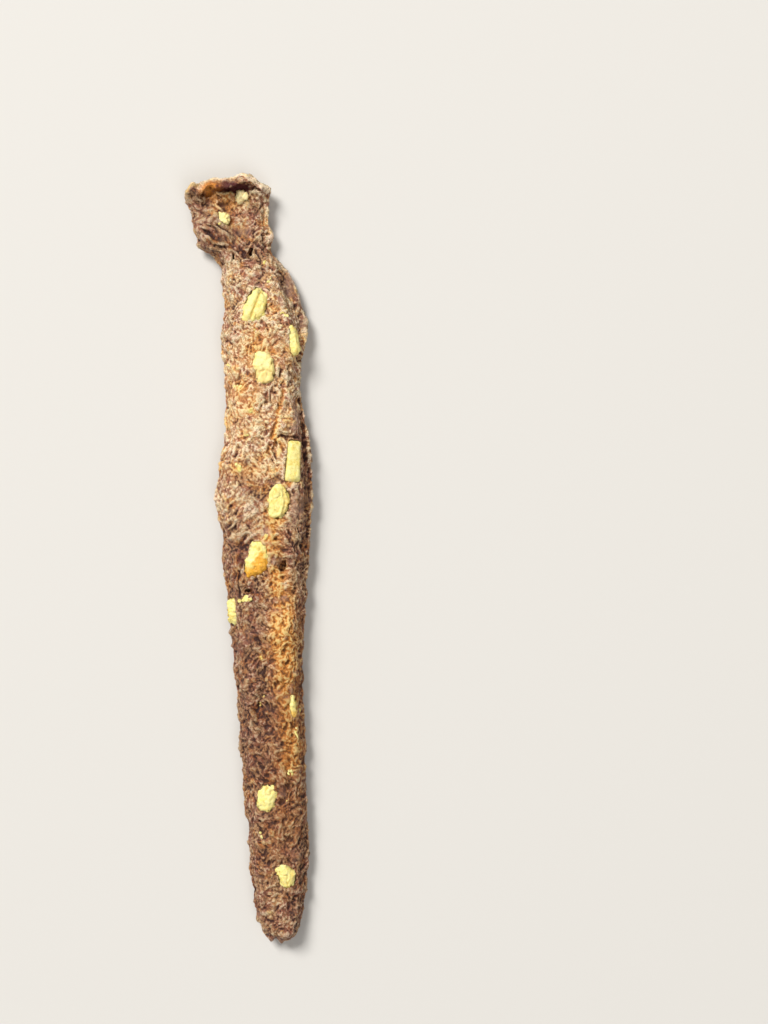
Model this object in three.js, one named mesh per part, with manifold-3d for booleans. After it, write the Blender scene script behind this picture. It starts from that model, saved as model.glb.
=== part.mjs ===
// A dried venison and cheese stick, lying on the side that dried on a wire rack.
// The rough side is up. X runs across the stick, Y along it to its torn head, and Z up. Millimetres.
import * as THREE from "three";
import { mergeVertices } from "three/addons/utils/BufferGeometryUtils.js";
import Module from "manifold-3d";

// Driving dimensions
const LENGTH = 158;
const RACK_PITCH = 12.7;
const RACK_FIRST = 8.5;
const RACK_SLANT = 0.07;
const RACK_EASE = 12;
const RACK_MARK_WIDTH = 1.3;
const RACK_MARK_DEPTH = 0.75;
const SPINE_ACROSS = 1.6;
const SPINE_WIDTH = 1.1;
const SPINE_DEPTH = 0.5;
const GAP = 0.3;

// The body by distance from the lower end: its left and right edges and its thickness.
// Ledge is how far the back layer stands out on the right past the rough front.
const STATIONS = [
  { at: 0, left: 0.6, right: 6.4, thick: 4.2, ledge: 0 },
  { at: 5, left: -0.9, right: 8.3, thick: 4.9, ledge: 0 },
  { at: 13, left: -2.2, right: 9.3, thick: 5.5, ledge: 0 },
  { at: 26, left: -3.2, right: 9.3, thick: 6.1, ledge: 0 },
  { at: 42, left: -4.5, right: 8.8, thick: 6.5, ledge: 0 },
  { at: 57, left: -5.8, right: 8.3, thick: 6.9, ledge: 0 },
  { at: 68, left: -6.9, right: 9.0, thick: 7.3, ledge: 0 },
  { at: 76, left: -7.8, right: 9.2, thick: 7.5, ledge: 0 },
  { at: 84, left: -8.4, right: 9.8, thick: 7.8, ledge: 0.6 },
  { at: 91, left: -9.8, right: 10.3, thick: 8, ledge: 1 },
  { at: 97, left: -9.3, right: 10.4, thick: 7.9, ledge: 1.2 },
  { at: 104, left: -7.7, right: 9.5, thick: 7.7, ledge: 1.8 },
  { at: 110, left: -7.8, right: 8.6, thick: 7.5, ledge: 1.2 },
  { at: 116, left: -7.9, right: 7.7, thick: 7.3, ledge: 0 },
  { at: 122, left: -8.3, right: 8.6, thick: 7.4, ledge: 1.3 },
  { at: 127.5, left: -8.3, right: 9.4, thick: 7.2, ledge: 3 },
  { at: 132, left: -7.6, right: 7.9, thick: 6.9, ledge: 3 },
  { at: 136, left: -8.3, right: 6.4, thick: 6.4, ledge: 2.7 },
  { at: 139.4, left: -8.7, right: 4.3, thick: 5.9, ledge: 1.2 },
  { at: 141.4, left: -9.9, right: 2.2, thick: 5.6, ledge: 0 },
  { at: 143.2, left: -12.5, right: 1.8, thick: 5.5, ledge: 0 },
  { at: 146, left: -13.7, right: 1.7, thick: 5.4, ledge: 0 },
  { at: 150, left: -14.4, right: 1.3, thick: 5, ledge: 0 },
  { at: 154, left: -15.3, right: 1.5, thick: 5, ledge: 0 },
  { at: 158, left: -16.3, right: 1.9, thick: 5.2, ledge: 0 },
];
const WAIST_SHARE = 0.42;
const LEFT_FULLNESS = 3.4;
const RIGHT_FULLNESS = 2.5;
const CROWNING = 2.1;
const LEDGE_HEIGHT = 3.1;
const LEDGE_LIP = { height: 0.9, at: 0.85, width: 0.3 };
const LEDGE_SLOPE = { from: -0.15, to: 0.3 };
const NARROWEST_LEDGE = 0.2;
const SIDE_STEEPNESS = 6;
const SIDE_LUMPS = 0.8;

// The underside: how far across its flat part reaches, and where the edge above it starts to round.
const FLAT_SHARE = 0.8;
const UNDER_EDGE_SHARE = 0.94;
const UNDER_EDGE_RISE = 0.42;

// The head: a thin plate that curls up, dished, with a torn rim that leans back over the dish.
const HEAD_FROM = 141.2;
const CROWN = [
  [-16.5, 154.2],
  [-15.2, 154.8],
  [-14.2, 156.7],
  [-12.8, 155.1],
  [-11, 157.1],
  [-6.2, 157],
  [-3.8, 158.4],
  [-2.3, 158],
  [-0.8, 156.4],
  [2, 155.3],
];
const DISH_DEPTH = 1.7;
const DISH_CENTRE = { across: -5.6, along: 151.5, wide: 7.5, long: 6 };
const RIM_HEIGHT = 3;
const RIM_WIDTH = 1.25;
const RIM_LEAN = 0.6;
const RIM_LEAN_FROM = 4.6;
const RIM_LEAN_REACH = { from: 4.5, to: 1.5 };
const RIM_NOTCH = { share: 0.2, size: 1.5 };
const DISH_FLOOR = 3.4;
const HEAD_LIFT = 1.1;
const TAIL_LIFT = 0.7;
const TAIL_LIFT_LENGTH = 9;
const FLAP = { right: -7.2, from: 142.6, to: 150, rise: 1.1, edge: 0.9, fadeAlong: 3, fadeAcross: 4 };
const FOLD_PITCH = 2;
const FOLD_DEPTH = 0.42;
const FOLD_SLANT = 0.4;

// Broad swellings and hollows of the rough side.
const SWELLINGS = [
  { across: 4.8, along: 62.5, wide: 3, long: 9, rise: 0.9 },
  { across: -3.4, along: 93, wide: 4.5, long: 8, rise: 0.5 },
  { across: 4.6, along: 78, wide: 1.9, long: 2.6, rise: -0.9 },
  { across: -3.2, along: 73, wide: 2.4, long: 1.6, rise: -0.8 },
  { across: 5.4, along: 103.6, wide: 2.4, long: 1.3, rise: -0.9 },
  { across: 0.6, along: 111, wide: 5, long: 7, rise: 0.4 },
  { across: 2.6, along: 129.8, wide: 2.6, long: 0.9, rise: -0.7 },
  { across: -4.4, along: 126, wide: 3, long: 6, rise: 0.35 },
  { across: 3.6, along: 31, wide: 3.2, long: 8, rise: 0.5 },
  { across: 0.4, along: 48, wide: 2, long: 6, rise: -0.6 },
];
const LUMPS = [
  { size: 4.6, rise: 0.5 },
  { size: 2.3, rise: 0.34 },
];

// Deep pits torn in the rough side. Lift raises one off the surface, to undercut the rim.
const PITS = [
  { across: -11.4, along: 154.2, wide: 2.6, long: 1.1, deep: 1.3, lift: 0.9 },
  { across: -7, along: 154.9, wide: 3.2, long: 1.1, deep: 1.4, lift: 0.9 },
  { across: -2.6, along: 155.1, wide: 2.6, long: 1, deep: 1.2, lift: 0.9 },
  { across: -2.25, along: 141.8, wide: 0.6, long: 1.15, deep: 2.2 },
  { across: -5.9, along: 140.6, wide: 0.45, long: 0.8, deep: 1.6 },
  { across: 4.5, along: 77.8, wide: 0.7, long: 1.1, deep: 1.8 },
  { across: -2.5, along: 72.6, wide: 0.9, long: 0.6, deep: 1.4 },
  { across: 3, along: 102.2, wide: 0.5, long: 1.2, deep: 1.3 },
];

// Cheese pieces: centre, width, length, depth, and turn from the stick's length in degrees.
// A piece may also say how far it stands out of the meat, how square it is, how uneven its corners are,
// how much it narrows toward the head, how deep its crease is, and that it shows on the underside.
const CHEESE_USUAL = { out: 0.25, square: 2.4, corners: 0.05, taper: 0, crease: 0, under: false };
const CHEESE = [
  { across: -1.2, along: 130.8, wide: 4, long: 7.2, deep: 3, turn: -17, out: 0.45, crease: 0.25 },
  { across: 0.6, along: 118.1, wide: 3.9, long: 7.5, deep: 2.8, turn: 8, out: 0.32, square: 2.7 },
  { across: 6.9, along: 124, wide: 1.9, long: 5.9, deep: 1.8, turn: 13, square: 2.8 },
  { across: 6.7, along: 99.1, wide: 2.5, long: 8.1, deep: 2.2, turn: -4,
    square: 20, corners: 0, taper: 0.15 },
  { across: 3.7, along: 90.9, wide: 3.9, long: 6.8, deep: 2.6, turn: -6 },
  { across: -0.7, along: 79.3, wide: 4.4, long: 7.7, deep: 3, turn: -14,
    out: 0.45, square: 2.2, corners: 0.12 },
  { across: -6.3, along: 68.4, wide: 1.9, long: 4.9, deep: 2, turn: 3, out: 0.2, square: 2.6 },
  { across: -7.7, along: 149.1, wide: 1.7, long: 2.8, deep: 1.5, turn: 30, out: 0.2, square: 2.2 },
  { across: -4.3, along: 153.4, wide: 1.9, long: 1.9, deep: 1.5, turn: 20, out: 0.45, square: 2.2 },
  { across: 6.5, along: 49.1, wide: 1.4, long: 4.2, deep: 1.6, turn: 6, out: 0.2, square: 2.3 },
  { across: 1, along: 30.5, wide: 3.7, long: 6, deep: 2.6, turn: -12, square: 2.5 },
  { across: 5, along: 14.5, wide: 3, long: 5, deep: 2.2, turn: 22, square: 2.3 },
  { across: -3.6, along: 117, wide: 3.6, long: 5.6, deep: 2.4, turn: 14, out: -0.15, under: true },
  { across: 5, along: 60, wide: 4.6, long: 5.2, deep: 2.2, turn: -30, out: -0.15, under: true },
].map((piece) => ({ ...CHEESE_USUAL, ...piece }));
const CHEESE_AROUND = 16;
const CHEESE_DOWN = 8;
const CHEESE_FLATNESS = 3;
const SQUARE_PER_FLATNESS = 3;
const CREASE_WIDTH = 0.22;
const CORNERS = 3;
const CORNER_TURN = 0.6;
const SLOPE_REACH = 1.2;

// Mesh density
const TAIL_STEP = 2.7;
const BODY_STEP = 1.75;
const HEAD_STEP = 0.95;
const TAIL_TO = 42;
const BODY_TO = HEAD_FROM - 3;
const MARKS_TO = HEAD_FROM - 2;
const NEAREST_MARK = 0.45;
const TAIL_ROUNDING = 2.2;
const HEAD_ROUNDING = 1.3;
const TAIL_NARROWING = 0.72;
const HEAD_NARROWING = 0.9;
const TAIL_TEAR = { depth: 1.5, size: 1.9, length: 6 };
const END_STEPS = [0, 0.08, 0.25, 0.5];
const LAST_STEP = 0.6;
const HEAD_JOIN = 0.1;
const TOP_POINTS = 21;
const EDGE_JOIN = 4;
const EDGE_CROWDING = 0.42;
const PIT_AROUND = 10;
const PIT_DOWN = 7;
const WELD = 1e-4;
const FINEST = 0.03;
const SHORTEST = 0.1;

const MEAT_LOOK = { color: 0x7a5038, roughness: 0.6, metalness: 0 };
const CHEESE_LOOK = { color: 0xf0dc8a, roughness: 0.5, metalness: 0 };

const smooth = THREE.MathUtils.smoothstep;
const mix = THREE.MathUtils.lerp;

// One value from 0 to 1 for each lattice corner, always the same.
function cornerValue(i, j, k) {
  let n = Math.imul(i, 374761393) ^ Math.imul(j, 668265263) ^ Math.imul(k, 2147483647);
  n = Math.imul(n ^ (n >>> 13), 1274126177);
  return ((n ^ (n >>> 16)) >>> 0) / 4294967295;
}

// Smooth lumps from -1 to 1 over space, about one unit across.
function lumpiness(x, y, z) {
  const [i, j, k] = [Math.floor(x), Math.floor(y), Math.floor(z)];
  const [fx, fy, fz] = [x - i, y - j, z - k].map((f) => f * f * (3 - 2 * f));
  const edge = (dj, dk) => mix(cornerValue(i, j + dj, k + dk), cornerValue(i + 1, j + dj, k + dk), fx);
  const face = (dk) => mix(edge(0, dk), edge(1, dk), fy);
  return 2 * mix(face(0), face(1), fz) - 1;
}

// A station's value at any distance along the stick, on a smooth curve through the stations.
function along(key, v) {
  const last = STATIONS.length - 1;
  const next = THREE.MathUtils.clamp(
    STATIONS.findIndex((s) => s.at >= v),
    1,
    last,
  );
  const [a, b] = [STATIONS[next - 1], STATIONS[next]];
  const [before, after] = [STATIONS[Math.max(0, next - 2)], STATIONS[Math.min(last, next + 1)]];
  const span = b.at - a.at;
  const t = THREE.MathUtils.clamp((v - a.at) / span, 0, 1);
  const slopeA = ((b[key] - before[key]) / (b.at - before.at)) * span;
  const slopeB = ((after[key] - a[key]) / (after.at - a.at)) * span;
  const t2 = t * t;
  const t3 = t2 * t;
  const value = mix(a[key], b[key], 3 * t2 - 2 * t3) + (t3 - 2 * t2 + t) * slopeA + (t3 - t2) * slopeB;
  return key === "ledge" ? Math.max(0, value) : value;
}

// The torn end of the head, as a distance along the stick for each place across it.
function crownAt(u) {
  const next = THREE.MathUtils.clamp(
    CROWN.findIndex(([across]) => across >= u),
    1,
    CROWN.length - 1,
  );
  const [a, b] = [CROWN[next - 1], CROWN[next]];
  return mix(a[1], b[1], THREE.MathUtils.clamp((u - a[0]) / (b[0] - a[0]), 0, 1));
}

const bump = (distance) => Math.exp(-distance * distance);

// Height of the rough side above the underside, before the ends are rounded.
function roughHeight(u, v) {
  const left = along("left", v);
  const right = along("right", v);
  const thick = along("thick", v);
  const ledge = along("ledge", v);
  const w = THREE.MathUtils.clamp((2 * u - left - right) / (right - left), -1, 1);
  const fullness = w < 0 ? LEFT_FULLNESS : RIGHT_FULLNESS;
  const waist = thick * WAIST_SHARE;
  let z = waist + (thick - waist) * Math.pow(Math.max(0, 1 - Math.pow(Math.abs(w), fullness)), 1 / CROWNING);
  for (const s of SWELLINGS) {
    z += s.rise * bump((u - s.across) / s.wide) * bump((v - s.along) / s.long) * (1 - w * w);
  }
  if (ledge > NARROWEST_LEDGE) {
    const t = (u - (right - ledge)) / ledge;
    const dropped = LEDGE_HEIGHT + LEDGE_LIP.height * bump((t - LEDGE_LIP.at) / LEDGE_LIP.width);
    z = mix(z, Math.min(z, dropped), smooth(t, LEDGE_SLOPE.from, LEDGE_SLOPE.to));
  }
  return z + headRelief(u, v);
}

// What the head adds: the dish, the raised rim, and the folded flap on its left.
function headRelief(u, v) {
  const d = DISH_CENTRE;
  const dish = -DISH_DEPTH * bump((u - d.across) / d.wide) * bump((v - d.along) / d.long);
  const notched = 1 - RIM_NOTCH.share * (1 - lumpiness(u / RIM_NOTCH.size, 3, 1));
  const rim = RIM_HEIGHT * bump((v - (LENGTH - 1)) / RIM_WIDTH) * notched;
  const flap =
    smooth(v, FLAP.from - FLAP.edge / 2, FLAP.from + FLAP.edge / 2) *
    (1 - smooth(v, FLAP.to - FLAP.fadeAlong / 2, FLAP.to + FLAP.fadeAlong / 2)) *
    (1 - smooth(u, FLAP.right - FLAP.fadeAcross / 2, FLAP.right + FLAP.fadeAcross / 2));
  const folds = Math.sin(((v + FOLD_SLANT * u) * 2 * Math.PI) / FOLD_PITCH);
  return dish + rim + flap * (FLAP.rise + FOLD_DEPTH * folds);
}

// How much a section near either end is drawn in, from 0 at the end to 1.
function endShare(v) {
  const fromEnd = Math.min(v / TAIL_ROUNDING, (LENGTH - v) / HEAD_ROUNDING);
  return fromEnd >= 1 ? 1 : Math.sqrt(Math.max(0, 1 - (1 - fromEnd) ** 2));
}

// Height of the underside: flat pads, with a groove where each wire of the rack was.
function underHeight(u, v, flatness) {
  const nearest = Math.round((v - RACK_FIRST) / RACK_PITCH);
  const fromWire = Math.abs(v - RACK_FIRST - nearest * RACK_PITCH) / (RACK_MARK_WIDTH / 2);
  const fromSpine = Math.abs(u - spineAcross(v)) / (SPINE_WIDTH / 2);
  const wire = RACK_MARK_DEPTH * Math.max(0, 1 - fromWire);
  const spine = SPINE_DEPTH * Math.max(0, 1 - fromSpine);
  return Math.max(wire, spine) * flatness;
}

const spineAcross = (v) => (along("left", v) + along("right", v)) / 2 + SPINE_ACROSS;

// Both ends curl off the surface that the stick lies on.
const lift = (v) =>
  HEAD_LIFT * smooth(v, HEAD_FROM, LENGTH) + TAIL_LIFT * (1 - smooth(v, 0, TAIL_LIFT_LENGTH));

// A point of the section plane, moved to its place on the stick.
function placed(u, v, z, onTop) {
  const headShare = smooth(v, HEAD_FROM - HEAD_JOIN, HEAD_FROM);
  const stretch = mix(1, (crownAt(u) - HEAD_FROM) / (LENGTH - HEAD_FROM), headShare);
  let y = v > HEAD_FROM ? HEAD_FROM + (v - HEAD_FROM) * stretch : v;
  const torn = 0.5 + 0.5 * lumpiness(u / TAIL_TEAR.size, 7, 2);
  y += TAIL_TEAR.depth * torn * (1 - smooth(v, 0, TAIL_TEAR.length));
  if (onTop) {
    const atRim = smooth(v, LENGTH - RIM_LEAN_REACH.from, LENGTH - RIM_LEAN_REACH.to);
    y -= RIM_LEAN * atRim * Math.max(0, z - RIM_LEAN_FROM);
  } else {
    y += RACK_SLANT * u * smooth(v, 0, RACK_EASE) * (1 - smooth(v, HEAD_FROM - RACK_EASE, HEAD_FROM));
  }
  return new THREE.Vector3(u, y, z + lift(v));
}

// One ring of points round the stick: the rough side from right to left, then the underside back.
function ring(v) {
  const share = endShare(v);
  const middle = (along("left", v) + along("right", v)) / 2;
  const narrowing = v < LENGTH / 2 ? TAIL_NARROWING : HEAD_NARROWING;
  const half = ((along("right", v) - along("left", v)) / 2) * mix(narrowing, 1, share);
  const waist = along("thick", v) * WAIST_SHARE;
  const points = [];
  for (let i = 0; i <= TOP_POINTS - 1; i++) {
    const t = i / (TOP_POINTS - 1);
    const w = mix(1 - 2 * t, Math.cos(Math.PI * t), EDGE_CROWDING);
    const u = middle + half * w;
    const height = mix(waist, roughHeight(u, v), share * Math.min(1, EDGE_JOIN * (1 - Math.abs(w))));
    const lumpRise = ({ size, rise }) => rise * lumpiness(u / size, v / size, height / size);
    const rise = LUMPS.reduce((sum, lump) => sum + lumpRise(lump), 0);
    const side = Math.abs(w) ** SIDE_STEEPNESS;
    const outward = SIDE_LUMPS * rise * Math.sign(w) * side;
    points.push(placed(u + outward, v, height + rise * (1 - side) * share, true));
  }
  const spine = spineAcross(v);
  const flat = half * FLAT_SHARE;
  const under = [
    [middle - half * UNDER_EDGE_SHARE, waist * UNDER_EDGE_RISE],
    [middle - flat, 0],
    [mix(middle - flat, spine - SPINE_WIDTH / 2, 0.5), 0],
    [spine - SPINE_WIDTH / 2, 0],
    [spine, 0],
    [spine + SPINE_WIDTH / 2, 0],
    [middle + flat, 0],
    [middle + half * UNDER_EDGE_SHARE, waist * UNDER_EDGE_RISE],
  ];
  for (const [u, z] of under) {
    const base = z === 0 ? underHeight(u, v, share) : z;
    points.push(placed(u, v, mix(waist, base, share), false));
  }
  return points;
}

// Where the sections stand: closer together in the head, and three at each wire's mark.
function sectionPlaces() {
  const places = [];
  const marks = [];
  for (let v = RACK_FIRST; v < MARKS_TO; v += RACK_PITCH) {
    marks.push(v - RACK_MARK_WIDTH / 2, v, v + RACK_MARK_WIDTH / 2);
  }
  for (const share of END_STEPS) places.push(TAIL_ROUNDING * share);
  let v = TAIL_ROUNDING;
  while (v < LENGTH - HEAD_ROUNDING * LAST_STEP) {
    const step = v < TAIL_TO ? TAIL_STEP : v < BODY_TO ? BODY_STEP : HEAD_STEP;
    if (marks.every((m) => Math.abs(m - v) > step * NEAREST_MARK)) places.push(v);
    v += step;
  }
  for (const share of END_STEPS) places.push(LENGTH - HEAD_ROUNDING * share);
  return [...places, ...marks].sort((a, b) => a - b);
}

// A closed surface through the rings, with a fan at each end.
function loft(rings) {
  const size = rings[0].length;
  const positions = rings.flat().flatMap((p) => [p.x, p.y, p.z]);
  const index = [];
  for (let r = 0; r < rings.length - 1; r++) {
    for (let i = 0; i < size; i++) {
      const [a, b] = [r * size + i, r * size + ((i + 1) % size)];
      index.push(a, b + size, b, a, a + size, b + size);
    }
  }
  for (const [r, turned] of [
    [0, false],
    [rings.length - 1, true],
  ]) {
    const middle = rings[r].reduce((sum, p) => sum.add(p), new THREE.Vector3()).divideScalar(size);
    const centre = positions.length / 3;
    positions.push(middle.x, middle.y, middle.z);
    for (let i = 0; i < size; i++) {
      const [a, b] = [r * size + i, r * size + ((i + 1) % size)];
      index.push(...(turned ? [centre, b, a] : [centre, a, b]));
    }
  }
  const geometry = new THREE.BufferGeometry();
  geometry.setAttribute("position", new THREE.Float32BufferAttribute(positions, 3));
  geometry.setIndex(index);
  return geometry;
}

// A lump of cheese about its own centre, grown by a margin all round for its pocket.
function cheeseGeometry(piece, margin) {
  const geometry = new THREE.SphereGeometry(1, CHEESE_AROUND, CHEESE_DOWN);
  geometry.deleteAttribute("normal");
  geometry.deleteAttribute("uv");
  geometry.rotateX(Math.PI / 2);
  const place = geometry.getAttribute("position");
  const half = [piece.wide / 2 + margin, piece.long / 2 + margin, piece.deep / 2 + margin];
  const flatness = Math.max(CHEESE_FLATNESS, piece.square / SQUARE_PER_FLATNESS);
  const p = new THREE.Vector3();
  for (let i = 0; i < place.count; i++) {
    p.fromBufferAttribute(place, i);
    const plan = (Math.abs(p.x) ** piece.square + Math.abs(p.y) ** piece.square) ** (1 / piece.square);
    p.multiplyScalar((plan ** flatness + Math.abs(p.z) ** flatness) ** (-1 / flatness));
    const round = Math.atan2(p.y, p.x);
    const corner = 1 + piece.corners * Math.cos(CORNERS * round + CORNER_TURN);
    const narrowing = 1 - piece.taper * p.y;
    const crease = piece.crease * Math.exp(-((p.x / CREASE_WIDTH) ** 2)) * Math.max(0, p.z);
    place.setXYZ(i, p.x * half[0] * corner * narrowing, p.y * half[1] * corner, (p.z - crease) * half[2]);
  }
  return mergeVertices(geometry, WELD);
}

// Puts a lump of cheese in the meat, tilted to follow the surface that it shows on.
function cheeseMatrix(piece) {
  const { across: u, along: v } = piece;
  const around = new THREE.Matrix4().makeRotationZ(THREE.MathUtils.degToRad(piece.turn));
  if (piece.under) {
    return around.setPosition(u, v, piece.deep / 2 - piece.out);
  }
  const r = SLOPE_REACH;
  const slopeAcross = (roughHeight(u + r, v) - roughHeight(u - r, v)) / (2 * r);
  const slopeAlong = (roughHeight(u, v + r) - roughHeight(u, v - r)) / (2 * r);
  const up = new THREE.Vector3(-slopeAcross, -slopeAlong, 1).normalize();
  const tilt = new THREE.Quaternion().setFromUnitVectors(new THREE.Vector3(0, 0, 1), up);
  const surface = placed(u, v, roughHeight(u, v), false);
  const centre = surface.clone().setY(v).addScaledVector(up, piece.out - piece.deep / 2);
  return new THREE.Matrix4().makeRotationFromQuaternion(tilt).multiply(around).setPosition(centre);
}

const wasm = await Module();
wasm.setup();

function toSolid(geometry) {
  const merged = mergeVertices(geometry, WELD);
  return new wasm.Manifold(
    new wasm.Mesh({
      numProp: 3,
      vertProperties: new Float32Array(merged.getAttribute("position").array),
      triVerts: new Uint32Array(merged.index.array),
    }),
  );
}

function fromSolid(solid) {
  const made = solid.getMesh();
  const geometry = new THREE.BufferGeometry();
  geometry.setAttribute("position", new THREE.BufferAttribute(made.vertProperties, 3));
  geometry.setIndex(new THREE.BufferAttribute(made.triVerts, 1));
  return geometry;
}

// The cuts leave some very short edges: each is closed up to one point.
function withoutShortEdges(geometry) {
  const place = geometry.getAttribute("position");
  const joined = Array.from({ length: place.count }, (_, i) => i);
  const root = (i) => {
    while (joined[i] !== i) i = joined[i];
    return i;
  };
  const [p, q] = [new THREE.Vector3(), new THREE.Vector3()];
  const corners = geometry.index.array;
  for (let i = 0; i < corners.length; i++) {
    const [a, b] = [root(corners[i]), root(corners[i % 3 === 2 ? i - 2 : i + 1])];
    if (p.fromBufferAttribute(place, a).distanceTo(q.fromBufferAttribute(place, b)) < SHORTEST) {
      joined[Math.max(a, b)] = Math.min(a, b);
    }
  }
  const kept = [];
  for (let i = 0; i < corners.length; i += 3) {
    const [a, b, c] = [root(corners[i]), root(corners[i + 1]), root(corners[i + 2])];
    if (a !== b && b !== c && c !== a) kept.push(a, b, c);
  }
  geometry.setIndex(kept);
  return geometry;
}

// A pit is an egg-shaped cut that opens through the rough side.
function pitSolid(pit) {
  const geometry = new THREE.SphereGeometry(1, PIT_AROUND, PIT_DOWN);
  geometry.deleteAttribute("normal");
  geometry.deleteAttribute("uv");
  geometry.scale(pit.wide, pit.long, pit.deep);
  const height = pit.lift ? DISH_FLOOR + pit.lift : roughHeight(pit.across, pit.along);
  geometry.translate(pit.across, pit.along, height + lift(pit.along));
  return toSolid(geometry);
}

function meatMesh() {
  let solid = toSolid(loft(sectionPlaces().map(ring)));
  for (const pit of PITS) solid = solid.subtract(pitSolid(pit));
  for (const piece of CHEESE) {
    solid = solid.subtract(toSolid(cheeseGeometry(piece, GAP).applyMatrix4(cheeseMatrix(piece))));
  }
  const material = new THREE.MeshStandardMaterial(MEAT_LOOK);
  const plain = withoutShortEdges(fromSolid(solid.asOriginal().simplify(FINEST)));
  const mesh = new THREE.Mesh(fromSolid(toSolid(plain)), material);
  mesh.geometry.computeVertexNormals();
  mesh.name = "meat";
  return mesh;
}

function cheeseMesh(piece, number) {
  const material = new THREE.MeshStandardMaterial(CHEESE_LOOK);
  const mesh = new THREE.Mesh(cheeseGeometry(piece, 0), material);
  mesh.applyMatrix4(cheeseMatrix(piece));
  mesh.name = `cheese_${String(number).padStart(2, "0")}`;
  return mesh;
}

const stick = new THREE.Group();
stick.add(meatMesh());
CHEESE.forEach((piece, i) => stick.add(cheeseMesh(piece, i + 1)));

// The origin is under the middle of the stick, on the surface that it lies on.
stick.updateMatrixWorld(true);
const box = new THREE.Box3().setFromObject(stick, true);
stick.position.set(-(box.min.x + box.max.x) / 2, -(box.min.y + box.max.y) / 2, -box.min.z);

export default stick;
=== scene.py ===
"""Dresses a dried venison and cheese stick: torn minced meat, lumps of cheese, rack marks, studio."""

import math
import random

import bmesh
import bpy
import numpy as np
from bpy.props import FloatProperty, FloatVectorProperty, IntProperty, PointerProperty
from mathutils import Matrix, Vector
from mathutils.bvhtree import BVHTree
from mathutils.kdtree import KDTree


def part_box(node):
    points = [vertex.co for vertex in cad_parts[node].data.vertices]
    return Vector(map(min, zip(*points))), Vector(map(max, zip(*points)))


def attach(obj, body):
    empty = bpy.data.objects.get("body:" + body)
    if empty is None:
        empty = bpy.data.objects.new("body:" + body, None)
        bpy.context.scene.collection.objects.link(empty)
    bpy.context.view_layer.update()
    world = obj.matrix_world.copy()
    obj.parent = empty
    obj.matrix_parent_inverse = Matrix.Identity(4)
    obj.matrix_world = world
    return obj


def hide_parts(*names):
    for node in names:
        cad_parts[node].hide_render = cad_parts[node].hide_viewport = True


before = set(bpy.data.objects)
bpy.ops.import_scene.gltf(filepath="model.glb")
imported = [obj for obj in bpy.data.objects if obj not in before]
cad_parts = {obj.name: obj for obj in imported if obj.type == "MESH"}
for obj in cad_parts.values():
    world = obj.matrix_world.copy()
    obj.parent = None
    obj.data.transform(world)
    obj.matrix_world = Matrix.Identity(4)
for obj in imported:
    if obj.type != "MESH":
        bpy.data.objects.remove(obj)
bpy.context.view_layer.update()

bl_info = {
    "name": "Venison Cheese Stick",
    "version": (1, 0, 0),
    "blender": (4, 5, 0),
    "location": "View3D > Sidebar > Stick",
    "description": "Builds the surface, cheese, finishes and studio of a dried meat and cheese stick",
    "category": "Object",
}

BODY = "root"
MM = 0.001
# Where the part's own origin lies in the plan of the stick: across from its axis, along from its tail.
PLAN_ACROSS = -2.7286
PLAN_ALONG = 79.3657
RACK_PITCH = 12.7
RACK_FIRST = 8.5
RACK_SLANT = 0.07
CAMERA_ACROSS = 25.0
CAMERA_ALONG = 88.8
FOCUS_HEIGHT = 4.0
SENSOR_SIZE = 36
CAMERA_RANGE = (0.01, 20)
FLOOR_SIZE = 6.0
KEY_LIGHT = {"place": (-1.2, 1.57, 2.14), "size": 1.1}
FILL_LIGHT = {"place": (0.8, -1.6, 2.4), "size": 2.0}
# The fill light's power beside the key light's.
FILL_SHARE = 0.26
# The picture's height in pixels, its scale, and the place in it of the plan's own zero.
PICTURE_HEIGHT = 1024
MM_IN_A_PIXEL = 0.205
PICTURE_ACROSS = 262
PICTURE_ALONG = 945
# How far the torn surface may stand above the solid's highest place.
TOP_ROOM = 0.15


def linear(red, green, blue):
    """A colour given as it looks on a screen, from 0 to 255, as the linear values that Blender takes."""
    steps = [c / 255 for c in (red, green, blue)]
    return tuple(c / 12.92 if c <= 0.04045 else ((c + 0.055) / 1.055) ** 2.4 for c in steps)


def darker(tint, share):
    """A colour at a share of its brightness."""
    return tuple(c * share for c in tint)


def colour(name, description, default):
    return FloatVectorProperty(
        name=name, description=description, default=default, subtype="COLOR", size=3, min=0, max=1
    )


def number(name, description, default, low, high):
    return FloatProperty(name=name, description=description, default=default, min=low, max=high)


def count(name, description, default, low, high):
    return IntProperty(name=name, description=description, default=default, min=low, max=high)


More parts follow.
